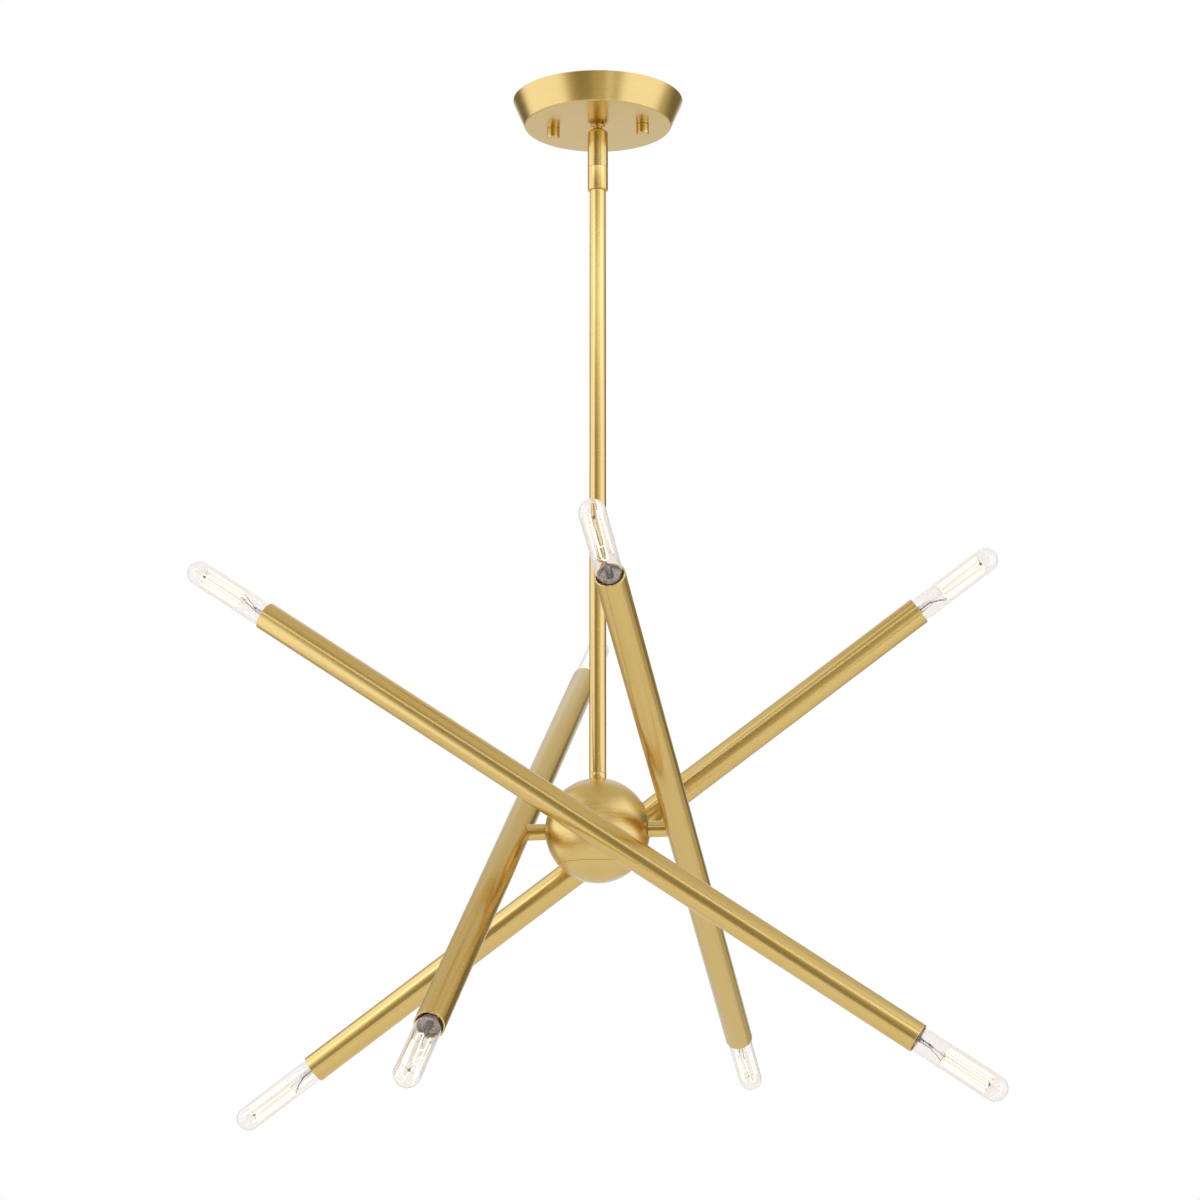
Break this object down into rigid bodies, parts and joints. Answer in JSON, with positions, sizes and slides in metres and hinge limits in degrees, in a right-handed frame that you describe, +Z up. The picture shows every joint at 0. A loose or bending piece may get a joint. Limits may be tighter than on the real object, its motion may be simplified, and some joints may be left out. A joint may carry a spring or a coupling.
{
  "type": "sputnik chandelier",
  "caption": "Sputnik chandelier: round canopy, swivel stem and a ball hub with long slanted tubes set like a pinwheel, each with a clear tubular bulb at both ends.",
  "frame": {"origin": "the ceiling plane at the centre of the canopy", "axes": "+Z up into the ceiling; +X along the ceiling bar and through both canopy screws"},
  "size_m": [0.6064, 0.6386, 0.787],
  "materials": {
    "satin_brass": "satin, brushed",
    "plated_steel": "zinc plated",
    "green_screw": "semi-gloss",
    "lampholder_plastic": "moulded, matt",
    "clear_glass": "clear",
    "lamp_base": "plain",
    "filament": "drawn wire, lit"
  },
  "bodies": {
    "canopy": {"canopy_shell": "satin_brass", "ceiling_bar": "plated_steel", "canopy_screws": "plated_steel", "canopy_screw_nuts": "plated_steel", "ground_screw": "green_screw", "swivel_ball_stud": "satin_brass", "stud_nut": "plated_steel", "stud_collar": "satin_brass"},
    "knob_right": {"canopy_knob_right": "satin_brass"},
    "knob_left": {"canopy_knob_left": "satin_brass"},
    "swivel_pins": {"swivel_pins": "plated_steel"},
    "stem": {"swivel_cup": "satin_brass", "stem_socket": "satin_brass", "stem_tube": "satin_brass", "foot_collar": "satin_brass", "stem_nipple": "plated_steel", "stem_nipple_nut": "plated_steel", "ball_shell": "satin_brass", "ball_cap": "satin_brass"},
    "front_arm": {"front_arm_tube": "satin_brass", "front_arm_post": "satin_brass", "front_arm_nipple": "plated_steel", "front_lampholders": "lampholder_plastic"},
    "front_upper_bulb": {"front_upper_bulb_glass": "clear_glass", "front_upper_bulb_base": "lamp_base", "front_upper_bulb_filament": "filament"},
    "front_lower_bulb": {"front_lower_bulb_glass": "clear_glass", "front_lower_bulb_base": "lamp_base", "front_lower_bulb_filament": "filament"},
    "right_arm": {"right_arm_tube": "satin_brass", "right_arm_post": "satin_brass", "right_arm_nipple": "plated_steel", "right_lampholders": "lampholder_plastic"},
    "right_upper_bulb": {"right_upper_bulb_glass": "clear_glass", "right_upper_bulb_base": "lamp_base", "right_upper_bulb_filament": "filament"},
    "right_lower_bulb": {"right_lower_bulb_glass": "clear_glass", "right_lower_bulb_base": "lamp_base", "right_lower_bulb_filament": "filament"},
    "back_arm": {"back_arm_tube": "satin_brass", "back_arm_post": "satin_brass", "back_arm_nipple": "plated_steel", "back_lampholders": "lampholder_plastic"},
    "back_upper_bulb": {"back_upper_bulb_glass": "clear_glass", "back_upper_bulb_base": "lamp_base", "back_upper_bulb_filament": "filament"},
    "back_lower_bulb": {"back_lower_bulb_glass": "clear_glass", "back_lower_bulb_base": "lamp_base", "back_lower_bulb_filament": "filament"},
    "left_arm": {"left_arm_tube": "satin_brass", "left_arm_post": "satin_brass", "left_arm_nipple": "plated_steel", "left_lampholders": "lampholder_plastic"},
    "left_upper_bulb": {"left_upper_bulb_glass": "clear_glass", "left_upper_bulb_base": "lamp_base", "left_upper_bulb_filament": "filament"},
    "left_lower_bulb": {"left_lower_bulb_glass": "clear_glass", "left_lower_bulb_base": "lamp_base", "left_lower_bulb_filament": "filament"}
  },
  "joints": [
    {"name": "knob_right_turn", "type": "hinge", "parent": "canopy", "child": "knob_right", "pos_m": [0.035, 0, -0.021], "axis": [0, 0, 1], "continuous": true},
    {"name": "knob_left_turn", "type": "hinge", "parent": "canopy", "child": "knob_left", "pos_m": [-0.035, 0, -0.021], "axis": [0, 0, 1], "continuous": true},
    {"name": "swivel_side_swing", "type": "hinge", "parent": "canopy", "child": "swivel_pins", "pos_m": [0, 0, -0.02754], "axis": [0.3746, 0.9272, 0], "range_deg": [-15, 15]},
    {"name": "swivel_pin_swing", "type": "hinge", "parent": "swivel_pins", "child": "stem", "pos_m": [0, 0, -0.02754], "axis": [0.9272, -0.3746, 0], "range_deg": [-15, 15]},
    {"name": "front_arm_tilt", "type": "hinge", "parent": "stem", "child": "front_arm", "pos_m": [-0.00457, -0.06223, -0.5719], "axis": [0.0732, 0.9973, 0], "range_deg": [-18.6, 41.4]},
    {"name": "front_upper_bulb_turn", "type": "hinge", "parent": "front_arm", "child": "front_upper_bulb", "pos_m": [-0.24547, -0.04454, -0.41142], "axis": [-0.8307, 0.061, 0.5534], "continuous": true},
    {"name": "front_lower_bulb_turn", "type": "hinge", "parent": "front_arm", "child": "front_lower_bulb", "pos_m": [0.23633, -0.07992, -0.73238], "axis": [0.8307, -0.061, -0.5534], "continuous": true},
    {"name": "right_arm_tilt", "type": "hinge", "parent": "stem", "child": "right_arm", "pos_m": [0.06223, -0.00457, -0.5719], "axis": [-0.9973, 0.0732, 0], "range_deg": [-13.2, 46.8]},
    {"name": "right_upper_bulb_turn", "type": "hinge", "parent": "right_arm", "child": "right_upper_bulb", "pos_m": [0.04351, -0.25946, -0.43486], "axis": [-0.0645, -0.8789, 0.4726], "continuous": true},
    {"name": "right_lower_bulb_turn", "type": "hinge", "parent": "right_arm", "child": "right_lower_bulb", "pos_m": [0.08095, 0.25032, -0.70894], "axis": [0.0645, 0.8789, -0.4726], "continuous": true},
    {"name": "back_arm_tilt", "type": "hinge", "parent": "stem", "child": "back_arm", "pos_m": [0.00457, 0.06223, -0.5719], "axis": [-0.0732, -0.9973, 0], "range_deg": [-20.7, 39.3]},
    {"name": "back_upper_bulb_turn", "type": "hinge", "parent": "back_arm", "child": "back_upper_bulb", "pos_m": [0.23944, 0.04498, -0.40267], "axis": [0.8099, -0.0595, 0.5835], "continuous": true},
    {"name": "back_lower_bulb_turn", "type": "hinge", "parent": "back_arm", "child": "back_lower_bulb", "pos_m": [-0.2303, 0.07948, -0.74113], "axis": [-0.8099, 0.0595, -0.5835], "continuous": true},
    {"name": "left_arm_tilt", "type": "hinge", "parent": "stem", "child": "left_arm", "pos_m": [-0.06223, 0.00457, -0.5719], "axis": [0.9973, -0.0732, 0], "range_deg": [-18.3, 41.7]},
    {"name": "left_upper_bulb_turn", "type": "hinge", "parent": "left_arm", "child": "left_upper_bulb", "pos_m": [-0.04448, 0.2463, -0.41268], "axis": [0.0612, 0.8336, 0.549], "continuous": true},
    {"name": "left_lower_bulb_turn", "type": "hinge", "parent": "left_arm", "child": "left_lower_bulb", "pos_m": [-0.07998, -0.23716, -0.73112], "axis": [-0.0612, -0.8336, -0.549], "continuous": true}
  ]
}
